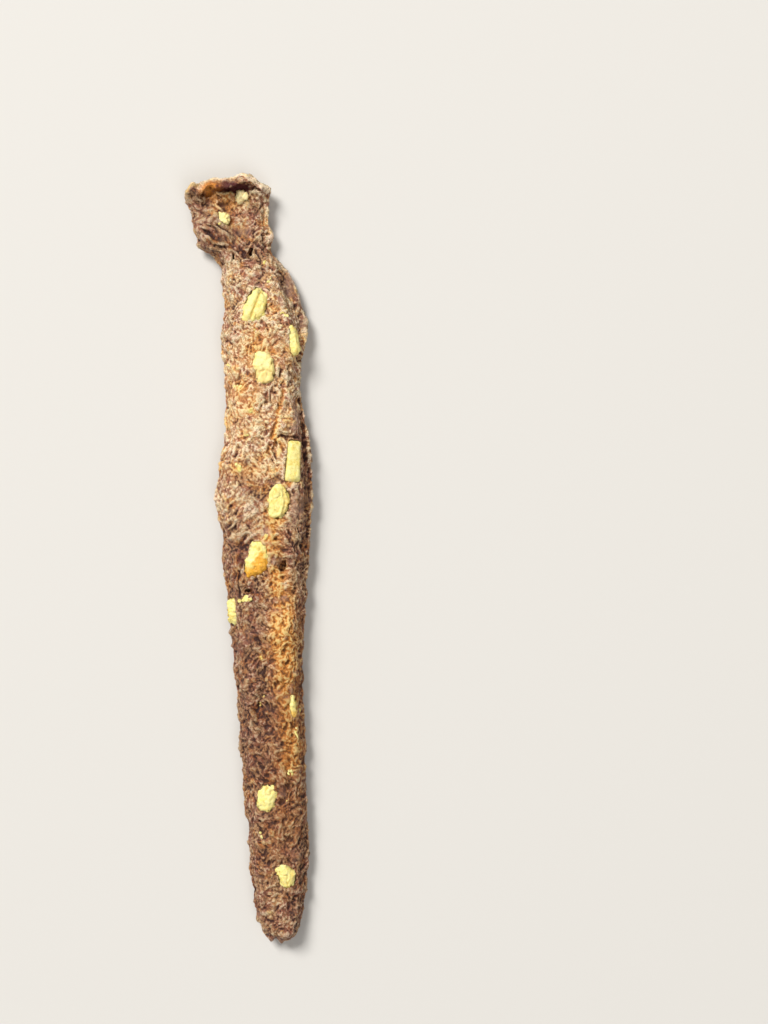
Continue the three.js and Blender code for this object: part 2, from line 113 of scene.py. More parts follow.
class MeatSettings(bpy.types.PropertyGroup):
    voxel: number("Voxel", "Size of the finest step of the surface, in millimetres", 0.18, 0.12, 2)
    triangles: count("Triangles", "Most triangles on the meat", 195000, 1000, 199000)
    strand_width: number("Strand width", "Width of a strand of minced meat, in millimetres", 0.85, 0.3, 5)
    strand_length: number("Strand length", "Length of a strand of minced meat, in millimetres", 3.0, 0.5, 20)
    strand_height: number("Strand height", "How far a strand stands out, in millimetres", 0.34, 0, 2)
    grain_height: number("Grain height", "How far the torn grain stands out, in millimetres", 0.7, 0, 2)
    fold_height: number("Fold height", "How far the folds of the head stand out, in millimetres", 0.5, 0, 2)
    crumb_size: number("Crumb size", "Size of the crumbs, in millimetres", 0.7, 0.2, 3)
    crumb_height: number("Crumb height", "How far a crumb stands out, in millimetres", 0.24, 0, 1)
    # The crevice colour is partly painted shade in the hollows, and the ridge, blush and golden colours on
    # the tops of the grain are partly painted highlights.
    crevice: colour("Crevice", "Deepest parts between the strands", linear(70, 28, 12))
    rosy: colour("Rosy flesh", "Redder meat of the rough surface", linear(186, 120, 88))
    flesh: colour("Flesh", "Middle of the rough surface", linear(216, 170, 118))
    ridge: colour("Ridge", "Tops of the strands", linear(255, 233, 188))
    blush: colour("Blush", "Tops of the redder strands", linear(255, 222, 192))
    amber: colour("Amber", "Where melted cheese has soaked in", linear(226, 142, 50))
    golden: colour("Golden", "Raised grain where cheese has soaked in", linear(252, 213, 134))
    skin: colour("Skin", "Smooth plates of the underside", linear(208, 168, 146))
    mauve: colour("Mauve", "Darker patches of the underside", linear(156, 112, 98))
    wire_mark: colour("Wire mark", "Marks that the rack's wires left", linear(226, 186, 124))
    scorch: colour("Scorch", "Thin burnt lines in the marks", linear(126, 70, 40))
    ember: colour("Ember", "Thin edges that the light comes through", linear(255, 164, 62))
    # On the inner side of the rim this colour is painted shadow; the small spots are the meat's own dark
    # red.
    rim_shadow_and_red_spots: colour("Dark red", "Inner side of the curled rim, and small glossy spots", linear(84, 22, 12))


class CheeseSettings(bpy.types.PropertyGroup):
    voxel: number("Voxel", "Size of the finest step of the cheese, in millimetres", 0.17, 0.1, 1)
    growth: number("Growth", "How far a lump swells into its pocket, in millimetres", 0.3, 0, 0.6)
    lumpiness: number("Lumpiness", "Height of the lumps on the cheese, in millimetres", 0.22, 0, 1)
    raggedness: number("Raggedness", "How far the outline goes in and out, in millimetres", 0.5, 0, 1)
    fissure: number("Fissure", "Depth of the cracks in the cheese, in millimetres", 0.3, 0, 1)
    pale: colour("Pale", "Fresh face of the cheese", linear(238, 226, 146))
    fresh: colour("Fresh", "Palest crumbs of the cheese", linear(255, 232, 176))
    ripe: colour("Ripe", "Yellower patches", linear(232, 208, 108))
    speckle: colour("Speckle", "Small dull flecks of the cheese", linear(190, 164, 82))
    browned: colour("Browned", "Where the cheese has browned", linear(248, 178, 52))
    specks: count("Specks", "Number of tiny specks of cheese", 14, 0, 200)


class StageSettings(bpy.types.PropertyGroup):
    floor: colour("Floor", "Colour of the floor", linear(206, 202, 195))
    lens: number("Lens", "Focal length of the camera, in millimetres", 60.0, 10, 300)
    key: number("Key light", "Power of the main light, in watts", 110, 0, 500)
    sky: number("Sky", "Strength of the light from all round", 0.24, 0, 5)


def hashed(i, j, k, salt):
    """One value from 0 to 1 for each lattice corner, always the same."""
    mask = 0xFFFFFFFF
    n = (i * 374761393 + j * 668265263 + k * 1440670441 + salt * 1274126177) & mask
    n = ((n ^ (n >> 13)) * 1274126177) & mask
    n = ((n ^ (n >> 15)) * 2246822519) & mask
    return (n ^ (n >> 16)) / mask


def lumps(points, size, salt=0):
    """Smooth noise from -1 to 1, with features about size across."""
    q = points / np.asarray(size, float) + 0.37 * salt
    base = np.floor(q).astype(np.int64)
    f = q - base
    f = f * f * (3 - 2 * f)
    total = np.zeros(len(points))
    for dx in (0, 1):
        for dy in (0, 1):
            for dz in (0, 1):
                wx = f[:, 0] if dx else 1 - f[:, 0]
                wy = f[:, 1] if dy else 1 - f[:, 1]
                wz = f[:, 2] if dz else 1 - f[:, 2]
                corner = hashed(base[:, 0] + dx, base[:, 1] + dy, base[:, 2] + dz, salt)
                total += wx * wy * wz * corner
    return 2 * total - 1


def cells(points, size, salt=0):
    """Splits space into irregular cells about size across: the distance to the nearest centre, how far
    inside its cell each point is, and a random value for each cell."""
    q = points / np.asarray(size, float)
    base = np.floor(q).astype(np.int64)
    nearest = np.full(len(q), 9.0)
    second = np.full(len(q), 9.0)
    value = np.zeros(len(q))
    for dx in (-1, 0, 1):
        for dy in (-1, 0, 1):
            for dz in (-1, 0, 1):
                i, j, k = base[:, 0] + dx, base[:, 1] + dy, base[:, 2] + dz
                spots = [hashed(i, j, k, salt * 7 + n) for n in (1, 2, 3)]
                steps = [c + s - q[:, n] for n, (c, s) in enumerate(zip((i, j, k), spots))]
                away = np.sqrt(sum(step**2 for step in steps))
                closer = away < nearest
                second = np.where(closer, nearest, np.minimum(second, away))
                value = np.where(closer, hashed(i, j, k, salt * 7 + 4), value)
                nearest = np.where(closer, away, nearest)
    return nearest, second - nearest, value


def layered(points, size, salt=0, layers=4, keep=0.6):
    """Noise from -1 to 1 that adds finer and finer features."""
    total, share, whole = 0.0, 1.0, 0.0
    for n in range(layers):
        total = total + share * lumps(points, np.asarray(size, float) / 2**n, salt + n)
        whole += share
        share *= keep
    return total / whole


def ease(x, low, high):
    """0 below low, 1 above high, smooth between them."""
    t = np.clip((np.asarray(x, float) - low) / (high - low), 0, 1)
    return t * t * (3 - 2 * t)


def turned(points, degrees):
    """Points turned about the upright axis."""
    c, s = math.cos(math.radians(degrees)), math.sin(math.radians(degrees))
    x, y, z = points.T
    return np.stack([c * x + s * y, c * y - s * x, z], 1)


def spot(u, v, across, along, wide, long):
    """A soft patch of the plan, 1 at its centre."""
    return np.exp(-(((u - across) / wide) ** 2) - ((v - along) / long) ** 2)


def near_line(u, v, corners, width):
    """A soft line through some places of the plan, 1 along its middle."""
    best = np.full(len(u), np.inf)
    for (x0, y0), (x1, y1) in zip(corners, corners[1:]):
        dx, dy = x1 - x0, y1 - y0
        t = np.clip(((u - x0) * dx + (v - y0) * dy) / (dx * dx + dy * dy), 0, 1)
        best = np.minimum(best, np.hypot(u - x0 - t * dx, v - y0 - t * dy))
    return np.exp(-((best / width) ** 2))


def at_pixel(x, y):
    """The place in the plan of the stick that a place in the picture shows."""
    return (x - PICTURE_ACROSS) * MM_IN_A_PIXEL, (PICTURE_ALONG - y) * MM_IN_A_PIXEL


def patches(u, v, table):
    """Soft patches added up: each has its strength, its place in the picture, its width and its length."""
    return sum(strength * spot(u, v, *at_pixel(x, y), wide, long) for strength, x, y, wide, long in table)


def stroke(u, v, corners, width):
    """A soft line through some places of the picture."""
    return near_line(u, v, [at_pixel(x, y) for x, y in corners], width)


def strokes(u, v, table):
    """Soft lines added up: each has its strength, its places in the picture and its width."""
    return sum(strength * stroke(u, v, corners, width) for strength, corners, width in table)


def merged_copy(*nodes):
    """Copies CAD nodes into one mesh in millimetres with their corners joined."""
    mesh = bmesh.new()
    for node in nodes:
        mesh.from_mesh(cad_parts[node].data)
    bmesh.ops.remove_doubles(mesh, verts=mesh.verts, dist=1e-6)
    bmesh.ops.scale(mesh, vec=(1 / MM,) * 3, verts=mesh.verts)
    return mesh


def made_mesh(mesh, name):
    data = bpy.data.meshes.new(name)
    mesh.to_mesh(data)
    mesh.free()
    return data


def new_object(name, data):
    piece = bpy.data.objects.new(name, data)
    bpy.context.scene.collection.objects.link(piece)
    return piece


def finished(piece):
    """The piece's mesh with its modifiers applied, and the modifiers gone."""
    view = bpy.context.evaluated_depsgraph_get()
    data = bpy.data.meshes.new_from_object(piece.evaluated_get(view))
    piece.modifiers.clear()
    piece.data = data
    return data


def remeshed(name, mesh, voxel):
    """A new piece with the form of the mesh and an even skin of small faces."""
    piece = new_object(name, made_mesh(mesh, name))
    remesh = piece.modifiers.new("Remesh", "REMESH")
    remesh.mode = "VOXEL"
    remesh.voxel_size = voxel
    finished(piece)
    return piece


def corners_of(data):
    places = np.empty(len(data.vertices) * 3)
    data.vertices.foreach_get("co", places)
    return places.reshape(-1, 3)


def directions_of(data):
    normals = np.empty(len(data.vertices) * 3, np.float32)
    data.vertex_normals.foreach_get("vector", normals)
    return normals.reshape(-1, 3).astype(float)


def place_corners(data, places):
    data.vertices.foreach_set("co", places.ravel())
    data.update()


def within_height(z):
    """Heights held above the floor, and softly held near the height of the solid."""
    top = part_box("meat")[1][2] / MM + TOP_ROOM
    return np.maximum(0, top - TOP_ROOM * np.logaddexp(0, (top - z) / TOP_ROOM))


def keep_value(data, name, values):
    """Stores one number for each vertex, for the materials to read."""
    layer = data.attributes.new(name, "FLOAT", "POINT")
    layer.data.foreach_set("value", np.clip(values, 0, 1).astype(np.float32))


def smooth_shaded(data):
    data.polygons.foreach_set("use_smooth", [True] * len(data.polygons))


# How the pattern of the fibres is squeezed, so that they are long in one direction.
FIBRE_STRETCH = (1, 0.3, 1)


class Value:
    """A socket of a material, so that its maths can be written as an expression."""

    def __init__(self, finish, socket):
        self.finish = finish
        self.socket = socket

    def _with(self, operation, first, second):
        return self.finish.add("ShaderNodeMath", {"operation": operation}, {0: first, 1: second})

    def __add__(self, other):
        return self._with("ADD", self, other)

    def __sub__(self, other):
        return self._with("SUBTRACT", self, other)

    def __rsub__(self, other):
        return self._with("SUBTRACT", other, self)

    def __mul__(self, other):
        return self._with("MULTIPLY", self, other)

    __radd__ = __add__
    __rmul__ = __mul__

    def kept(self):
        """The value held between 0 and 1."""
        return self.finish.add("ShaderNodeClamp", {}, {"Value": self})

    def ramped(self, low, high):
        """0 below low and 1 above high, smooth between them."""
        settings = {"interpolation_type": "SMOOTHSTEP"}
        inputs = {"Value": self, "From Min": low, "From Max": high}
        return self.finish.add("ShaderNodeMapRange", settings, inputs)


class Finish:
    """A node material under construction."""

    def __init__(self, name):
        self.material = bpy.data.materials.new(name)
        self.material.use_nodes = True
        self.tree = self.material.node_tree
        self.tree.nodes.clear()

    def add(self, kind, settings, inputs, output=0):
        node = self.tree.nodes.new(kind)
        for key, value in settings.items():
            setattr(node, key, value)
        for key, value in inputs.items():
            socket = node.inputs[key]
            if isinstance(value, Value):
                self.tree.links.new(value.socket, socket)
            elif isinstance(value, tuple) and socket.type == "RGBA":
                socket.default_value = (*value, 1)
            else:
                socket.default_value = value
        return Value(self, node.outputs[output]) if node.outputs else None

    def place(self):
        """Object coordinates in millimetres."""
        where = self.add("ShaderNodeTexCoord", {}, {}, "Object")
        return self.add("ShaderNodeVectorMath", {"operation": "MULTIPLY"}, {0: where, 1: (1 / MM,) * 3})

    def noise(self, scale, detail, roughness=0.55):
        """Noise with about scale features in a millimetre, from 0 to 1."""
        inputs = {"Vector": self.place(), "Scale": scale, "Detail": detail, "Roughness": roughness}
        return self.add("ShaderNodeTexNoise", {}, inputs, "Fac")

    def fibres(self, degrees):
        """Fine streaks that run one way in the plan."""
        turn = {"Vector": self.place(), "Rotation": (0, 0, math.radians(degrees))}
        lined_up = self.add("ShaderNodeMapping", {"vector_type": "POINT"}, turn)
        squeezed = {0: lined_up, 1: FIBRE_STRETCH}
        thinner = self.add("ShaderNodeVectorMath", {"operation": "MULTIPLY"}, squeezed)
        inputs = {"Vector": thinner, "Scale": 2.0, "Detail": 4.0, "Roughness": 0.7, "Distortion": 0.6}
        return self.add("ShaderNodeTexNoise", {}, inputs, "Fac")

    def stored(self, name):
        """A number kept on the mesh."""
        return self.add("ShaderNodeAttribute", {"attribute_name": name}, {}, "Fac")

    def mix(self, share, first, second, blend="MIX"):
        settings = {"data_type": "RGBA", "blend_type": blend}
        return self.add("ShaderNodeMix", settings, {0: share, 6: first, 7: second}, 2)

    def bump(self, height, distance, strength, under=None):
        inputs = {"Height": height, "Distance": distance * MM, "Strength": strength}
        if under:
            inputs["Normal"] = under
        return self.add("ShaderNodeBump", {}, inputs, "Normal")

    def shade(self, **inputs):
        named = {key.replace("_", " "): value for key, value in inputs.items()}
        surface = self.add("ShaderNodeBsdfPrincipled", {}, named, "BSDF")
        self.add("ShaderNodeOutputMaterial", {}, {"Surface": surface})
        return self.material


# What the meat's colours are multiplied by where it is darkest, which is partly the meat's own darkness and
# partly painted shade.
DIMMED = (0.44, 0.33, 0.285)


def meat_finish(s):
    f = Finish("dried venison")
    relief_shading, cavity_shade = f.stored("relief_shading"), f.stored("cavity_shade")
    fine = f.noise(2.2, 5, 0.8)
    tone_and_shading = f.stored("tone_and_shading")
    fibres = f.mix(f.noise(0.35, 2).ramped(0.44, 0.56), f.fibres(-50), f.fibres(30))
    fibre = f.add("ShaderNodeSeparateColor", {}, {0: fibres})
    # Painted light and shade: the depth is low in hollows and where the tone is dark, which takes the
    # crevice colour as painted shade, and high on the grain's tops, which takes the ridge colours as painted
    # highlights.
    depth = relief_shading + (fine - 0.5) * 1.9 + (fibre - 0.5) * 1.5 - (cavity_shade - 0.5) * 0.9 - (1 - tone_and_shading) * 0.4
    redness = f.noise(0.45, 5, 0.7).ramped(0.42, 0.6)
    gold = f.noise(0.3, 5, 0.75).ramped(0.5, 0.62)
    middle = f.mix(redness, tuple(s.flesh), tuple(s.rosy))
    middle = f.mix(gold * 0.65, middle, tuple(s.amber))
    lightest = f.mix(redness * 0.7, tuple(s.ridge), tuple(s.blush))
    lightest = f.mix(gold * 0.8, lightest, tuple(s.golden))
    rough_side = f.mix(depth.ramped(-0.3, 0.42), tuple(s.crevice), middle)
    rough_side = f.mix(depth.ramped(0.4, 0.9), rough_side, lightest)
    # Thin dark lines in the crevice colour paint the shade of fine cracks.
    off_crack = f.noise(0.8, 5, 0.7) - 0.5
    rough_side = f.mix((off_crack * off_crack).ramped(0.0008, 0.0) * 0.65, rough_side, tuple(s.crevice))
    # On the amber the hollows go darker as painted shade and the tops golden as painted highlights.
    grained_amber = f.mix(depth.ramped(-0.2, 0.5), darker(s.amber, 0.3), tuple(s.amber))
    grained_amber = f.mix(depth.ramped(0.4, 0.9), grained_amber, tuple(s.golden))
    rough_side = f.mix(f.stored("amber"), rough_side, grained_amber)
    skin = f.mix(f.noise(0.22, 6, 0.65).ramped(0.4, 0.6), tuple(s.mauve), tuple(s.skin))
    skin = f.mix(gold * 0.5, skin, tuple(s.wire_mark))
    skin = f.mix(fine.ramped(0.46, 0.3) * 0.6, skin, tuple(s.scorch))
    skin = f.mix(f.stored("wire_mark"), skin, tuple(s.wire_mark))
    skin = f.mix(f.stored("scorch"), skin, tuple(s.scorch))
    base = f.mix(f.stored("skin"), rough_side, skin)
    # Where the tone is low the colours are dimmed, partly for the meat's own darker zones and partly as
    # painted shade.
    dimmed = f.mix(1.0, base, DIMMED, "MULTIPLY")
    base = f.mix(tone_and_shading, dimmed, base)
    # Painted shadow on the inner side of the rim, and the meat's own small dark red spots.
    base = f.mix(f.stored("rim_shadow_and_red_spots"), base, tuple(s.rim_shadow_and_red_spots))
    glow = f.mix(fine.ramped(0.35, 0.62), darker(s.ember, 0.55), tuple(s.ember))
    base = f.mix(f.stored("ember") * 0.84, base, glow)
    grain = f.noise(3.4, 4, 0.7)
    normal = f.bump(fine * 1.5 + fibre * 0.5, 0.25, 0.9, f.bump(grain, 0.12, 0.8))
    roughness = (0.62 - f.noise(1.1, 2) * 0.3 - f.stored("skin") * 0.08).kept()
    return f.shade(
        Base_Color=base,
        Roughness=roughness,
        Normal=normal,
        Specular_IOR_Level=0.5,
        Subsurface_Weight=0.03,
        Subsurface_Radius=(1.0, 0.35, 0.2),
        Subsurface_Scale=0.0006,
    )


def cheese_finish(s):
    f = Finish("dried cheese")
    fine = f.noise(2.6, 5, 0.7)
    patch = f.noise(0.8, 4, 0.65)
    base = f.mix(patch.ramped(0.4, 0.66), tuple(s.pale), tuple(s.ripe))
    base = f.mix(fine.ramped(0.52, 0.72) * 0.7, base, tuple(s.fresh))
    base = f.mix(fine.ramped(0.46, 0.3) * 0.8, base, tuple(s.speckle))
    browned = f.mix(fine.ramped(0.3, 0.66), darker(s.browned, 0.66), tuple(s.browned))
    base = f.mix(f.stored("browned"), base, browned)
    # Painted shade on the steep sides and cracks of the lumps, and the crumbs' own darker flecks.
    base = f.mix(f.stored("side_shade_and_flecks") * 0.7, base, darker(s.browned, 0.45))
    base = f.mix(f.stored("fresh"), base, tuple(s.fresh))
    normal = f.bump(fine, 0.14, 0.8)
    return f.shade(
        Base_Color=base,
        Roughness=(0.56 - f.noise(1.3, 2) * 0.2).kept(),
        Normal=normal,
        Specular_IOR_Level=0.5,
        Subsurface_Weight=0.15,
        Subsurface_Radius=(1.0, 0.7, 0.3),
        Subsurface_Scale=0.001,
    )


CHEESE_NODES = sorted(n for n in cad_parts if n.startswith("cheese_"))
# How ragged a lump is beside the others, where it isn't as ragged as most.
RAGGED = {"cheese_03": 0.4, "cheese_04": 0.12, "cheese_08": 1.5, "cheese_09": 1.3}
# How much of a lump's top is cut off flat, in millimetres.
FLATTENED = {"cheese_04": 0.15, "cheese_03": 0.2, "cheese_02": 0.25, "cheese_05": 0.25}
# Where a lump has browned: a place of the picture on the border, the way it browns and how much.
# The way is 0 down the picture and 90 across it.
BROWNED = {
    "cheese_02": (266, 374, 0, 0.3),
    "cheese_05": (286, 502, 75, 0.4),
    "cheese_06": (257, 558, 25, 1.0),
    "cheese_09": (240, 150, 0, 0.4),
    "cheese_10": (294, 712, 0, 0.7),
}
# How much paler a lump is than the others. On cheese_09, which lies in the shadow of the rim, the paleness
# is partly painted light.
FRESH = {"cheese_09": 0.75, "cheese_02": 0.25, "cheese_08": 0.3}
# The dark crease that crosses a lump.
CREASES = {
    "cheese_01": [(262, 293), (258, 304), (255, 310), (251, 322)],
    "cheese_02": [(256, 380), (259, 374), (266, 371), (273, 374), (277, 380)],
    "cheese_05": [(284, 490), (286, 503), (283, 514)],
}
# Small pieces of cheese on the surface: the place in the picture, the width and the length in pixels.
CRUMBS = [
    (247, 598, 10, 8),
    (264, 262, 5, 6),
    (242, 388, 7, 5),
    (252, 412, 8, 6),
    (241, 468, 7, 9),
    (262, 656, 4, 6),
    (260, 701, 5, 9),
    (296, 732, 3, 22),
    (287, 313, 6, 7),
    (232, 306, 4, 4),
    (270, 283, 4, 5),
    (229, 366, 4, 4),
    (247, 436, 5, 4),
    (268, 536, 4, 5),
    (292, 770, 5, 7),
    (258, 832, 6, 5),
]
# A crumb larger than this many square millimetres keeps the first share of its size, and others the second.
LARGE_CRUMB = 3
LARGE_CRUMB_SHARE = 0.9
SMALL_CRUMB_SHARE = 0.6
# How many smaller bits lie about each crumb, and where in the plan the specks may lie.
BITS_BY_A_CRUMB = 5
SPECKS_ACROSS = (-9, 9)
SPECKS_ALONG = (10, 152)
CRUMB_SEED = 11
# Crumbs lie only where the meat faces up at least this much.
LEVEL_ENOUGH = 0.7
HIGH_ABOVE = 30
AMBER_BAND = [(276, 512), (271, 545), (282, 590), (284, 640), (290, 700), (292, 760)]
# Where melted cheese has soaked into the meat, as lines and as patches.
AMBER_LINES = [
    (1.1, AMBER_BAND, 2.2),
    (0.9, [(284, 392), (280, 410), (276, 430), (270, 455)], 0.55),
    (0.9, [(276, 438), (283, 446), (279, 455)], 0.55),
    (0.9, [(291, 484), (280, 487), (270, 500)], 0.55),
]
AMBER_PATCHES = [
    (0.8, 286, 645, 3.4, 10),
    (0.7, 231, 201, 3.4, 2.6),
    (0.7, 262, 352, 4, 4),
    (0.5, 240, 400, 5, 7),
    (0.6, 252, 470, 6, 2),
    (0.5, 285, 790, 4, 16),
    (0.7, 242, 388, 0.9, 0.9),
    (0.7, 252, 412, 0.9, 0.9),
    (0.7, 241, 468, 0.9, 0.9),
    (0.7, 262, 656, 0.9, 0.9),
]
# Thin places of the rim that the light comes through, and small glossy red spots.
EMBER_PATCHES = [(1, 208, 190, 1.3, 1), (0.8, 216, 187, 1.2, 0.8), (0.6, 210, 195, 1.2, 1)]
RED_PATCHES = [(0.9, 248, 462, 0.6, 0.7), (0.9, 243, 560, 0.9, 0.8)]
# Each seam, crack or slit: the places of the picture that it runs through, its width and its depth.
SEAMS = [
    ([(278, 268), (284, 283), (292, 300), (298, 316)], 0.4, 0.12),
    ([(275, 314), (282, 315), (290, 312)], 0.28, 0.5),
    ([(284, 392), (279, 412), (275, 430), (269, 452)], 0.4, 0.5),
    ([(300, 398), (304, 430), (306, 470), (307, 540)], 0.45, 0.6),
    ([(284, 436), (290, 440), (298, 437)], 0.5, 0.9),
    ([(222, 338), (231, 345), (238, 343)], 0.28, 0.4),
    ([(256, 250), (262, 262), (264, 276)], 0.3, 0.5),
    ([(205, 254), (213, 262), (222, 265)], 0.5, 0.8),
    ([(244, 560), (238, 580), (242, 600)], 0.35, 0.5),
    ([(256, 630), (268, 660), (262, 690)], 0.4, 0.5),
    ([(252, 247), (249, 259)], 0.32, 0.5),
    ([(244, 251), (241, 262)], 0.22, 0.35),
    ([(234, 254), (232, 266)], 0.24, 0.45),
    ([(225, 252), (224, 262)], 0.2, 0.4),
    ([(279, 508), (278, 514)], 0.3, 0.5),
    ([(281, 564), (284, 577)], 0.36, 0.6),
    ([(246, 588), (253, 592)], 0.36, 0.5),
    ([(273, 446), (276, 455)], 0.34, 0.7),
    ([(236, 196), (228, 204), (214, 206)], 0.5, 0.5),
]
# The pale edge of the layer that stands out at the side, which gets a painted highlight.
FLAP_EDGE = [(279, 265), (289, 275), (297, 289), (303, 306), (305, 322)]
# Smoother, lilac-brown patches of the rough side.
SMOOTH_PATCHES = [
    (1, 276, 560, 1.2, 1.2),
    (1, 267, 531, 1.8, 0.8),
    (1, 286, 277, 0.8, 1.6),
    (1, 292, 289, 0.9, 1.8),
    (1, 298, 303, 0.9, 1.8),
    (1, 301, 318, 0.9, 2),
    (1, 296, 425, 1, 5),
    (1, 300, 505, 1.2, 4),
]
# The crest of the curled rim, which gets a painted highlight.
RIM_LINE = [
    (184, 193),
    (193, 182),
    (200, 188),
    (208, 179),
    (233, 177),
    (243, 174),
    (250, 177),
    (258, 184),
    (268, 190),
]
# The inner side of the curled rim, coloured dark red as painted shadow under the curl.
RIM_INNER = [(212, 188), (224, 188), (234, 188), (246, 189)]
# The mark that the rack's long wire left along the underside.
MIDDLE_LINE = [
    (236, 180),
    (236, 228),
    (259, 284),
    (266, 340),
    (271, 428),
    (268, 484),
    (270, 604),
    (277, 700),
    (282, 935),
]
# Folds that run one way: the place in the picture, the width, the length, the direction and the height.
FOLDS = [(210, 228, 5, 4.4, 64, 1), (241, 525, 4.5, 6.5, -45, 0.7), (232, 660, 3.5, 8, -30, 0.5)]
# How light the meat is at some heights of the picture: darker at the head and low down, and low down this is
# partly painted shade.
TONE_LEVELS = [
    (165, 0.3),
    (250, 0.36),
    (268, 0.75),
    (310, 1),
    (430, 1),
    (480, 0.76),
    (540, 0.5),
    (600, 0.28),
    (680, 0.2),
    (760, 0.2),
    (950, 0.3),
]
# Lighter patches and lines of the meat, and darker ones with a strength below 0. Among them are painted
# light in the head's hollow and below the right end of the rim, where the rim casts its shadow, painted
# shade on the side face and along the flap's shaded side, and a painted highlight along the rim's crest.
TONE_PATCHES = [
    (0.2, 250, 222, 4, 6),
    (0.6, 227, 201, 3.6, 2.8),
    (-0.3, 306, 470, 1.6, 14),
    (0.34, 284, 630, 3.6, 13),
]
TONE_LINES = [
    (0.4, [(252, 192), (268, 197)], 0.6),
    (0.5, [(266, 190), (265, 215), (268, 245)], 0.7),
    (-0.6, [(284, 272), (296, 298), (303, 326)], 0.9),
    (0.9, RIM_LINE, 0.6),
    (0.24, AMBER_BAND, 2.4),
]
DARKEST = 0.12
# The directions of the strands in degrees, the size of the areas that each fills, how sharply these areas
# part, and how narrow the strands' tops are.
STRAND_WAYS = (-48, -8, 38, 84)
STRAND_AREA = 4.2
STRAND_PARTING = 5
STRAND_SHARPNESS = 2.4
# Where the head and its rim begin along the stick, and between which heights the rim does.
HEAD_BEGINS = (139, 145)
RIM_BEGINS = (151.5, 154)
RIM_HEIGHTS = (5.2, 6.6)
# Heights, depths and widths of the surface's features, in millimetres.
GRAIN_BEND = 0.45
TORN_HEIGHT = 0.28
PIT_DEPTH = 0.45
SIDE_GROOVES = 0.25
WRINKLE_DEPTH = 0.22
DENT_DEPTH = 0.3
SKIN_DEPTH = 0.03
RIM_RAGGED = 0.6
RIM_DROP = 0.7
TAIL_RAGGED = 0.5
LIP_REACH = 0.5
CHEESE_REACH = 1.0
SCORCH_WIDTH = 0.22
HOLLOW_DEPTH = 0.3
HOLLOW_ROUNDS = 5
# How much of the grain's height is lost on the sides, smooth patches, rim and folds.
SIDE_CALM = 0.35
SMOOTH_CALM = 0.3
RIM_CALM = 0.5
FOLD_CALM = 0.6


def strand_relief(points, s):
    """Strands of minced meat that run several ways, from 0 between them to 1 along their tops."""
    size = (s.strand_width, s.strand_length, s.strand_width)
    weights, tops = [], []
    for n, degrees in enumerate(STRAND_WAYS):
        off_top = np.abs(layered(turned(points, degrees), size, salt=20 + 4 * n, layers=2))
        tops.append(1 - np.clip(off_top * STRAND_SHARPNESS, 0, 1))
        weights.append(np.exp(STRAND_PARTING * lumps(points, STRAND_AREA, salt=40 + n)))
    return np.sum(np.array(weights) * tops, 0) / np.sum(weights, 0)


def cut_depth(u, v):
    """How deep the seams, cracks and slits are over the plan, in millimetres."""
    depth = np.zeros(len(u))
    for corners, width, deep in SEAMS:
        depth = np.maximum(depth, deep * stroke(u, v, corners, width))
    return depth


def tone_of(u, v):
    """How light the meat is over the plan: partly its own colour, partly painted light and shade."""
    y = PICTURE_ALONG - v / MM_IN_A_PIXEL
    levels = np.interp(y, *zip(*TONE_LEVELS))
    return levels + patches(u, v, TONE_PATCHES) + strokes(u, v, TONE_LINES)


